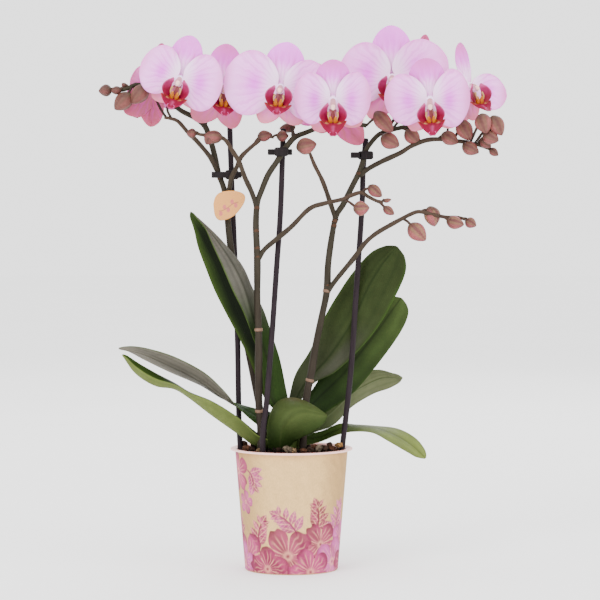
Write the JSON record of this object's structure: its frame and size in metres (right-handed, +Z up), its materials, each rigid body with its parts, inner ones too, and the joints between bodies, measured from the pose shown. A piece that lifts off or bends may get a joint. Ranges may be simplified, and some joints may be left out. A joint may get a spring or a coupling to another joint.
{
  "type": "potted orchid",
  "caption": "Potted moth orchid with strap leaves on a short stem, flower spikes tied to stakes, open blooms and buds, growing from bark in a round tapered nursery pot.",
  "frame": {"origin": "centre of the pot's flat underside, on the surface that the pot stands on", "axes": "+Z up along the pot's axis; -Y is the front, where most of the blooms face; +X is to the right seen from the front"},
  "size_m": [0.3021, 0.1014, 0.4021],
  "materials": {
    "pot_print": "kraft coloured printed wall, matt, with a pale translucent rim and pink blossom sprigs",
    "bark": "damp dark brown bark chips, rough",
    "stake": "dark purple-brown, satin",
    "clip": "near black, satin",
    "tag": "peach coloured card, matt",
    "crown": "green leaf sheaths, waxy",
    "leaf": "thick waxy leaf, dark green above and grey green below, soft gloss",
    "spike": "olive brown stems and dusty rose buds, satin",
    "petal": "thin pale lilac-pink tepals with fine veins, soft matt",
    "lip": "crimson lip with an orange callus and pale teeth, satin"
  },
  "bodies": {
    "root": {"pot": "pot_print", "stake_left": "stake", "stake_middle": "stake", "stake_right": "stake", "crown": "crown", "leaf_tall_left": "leaf", "leaf_upper_left": "leaf", "leaf_lower_left": "leaf", "leaf_tall_right": "leaf", "leaf_rear_right": "leaf", "leaf_level_right": "leaf", "leaf_low_right": "leaf", "leaf_front": "leaf", "bark": "bark", "spike_left": "spike", "spike_middle": "spike", "spike_right": "spike", "clip_left": "clip", "clip_middle": "clip", "clip_right": "clip", "tag": "tag", "bloom_a": "petal", "bloom_a_lip": "lip", "bloom_b": "petal", "bloom_b_lip": "lip", "bloom_c": "petal", "bloom_c_lip": "lip", "bloom_d": "petal", "bloom_d_lip": "lip", "bloom_e": "petal", "bloom_e_lip": "lip", "bloom_f": "petal", "bloom_f_lip": "lip", "bloom_g": "petal", "bloom_g_lip": "lip", "bloom_h": "petal", "bloom_h_lip": "lip", "bloom_j": "petal", "bloom_j_lip": "lip", "bloom_l": "petal", "bloom_l_lip": "lip"}
  },
  "joints": []
}
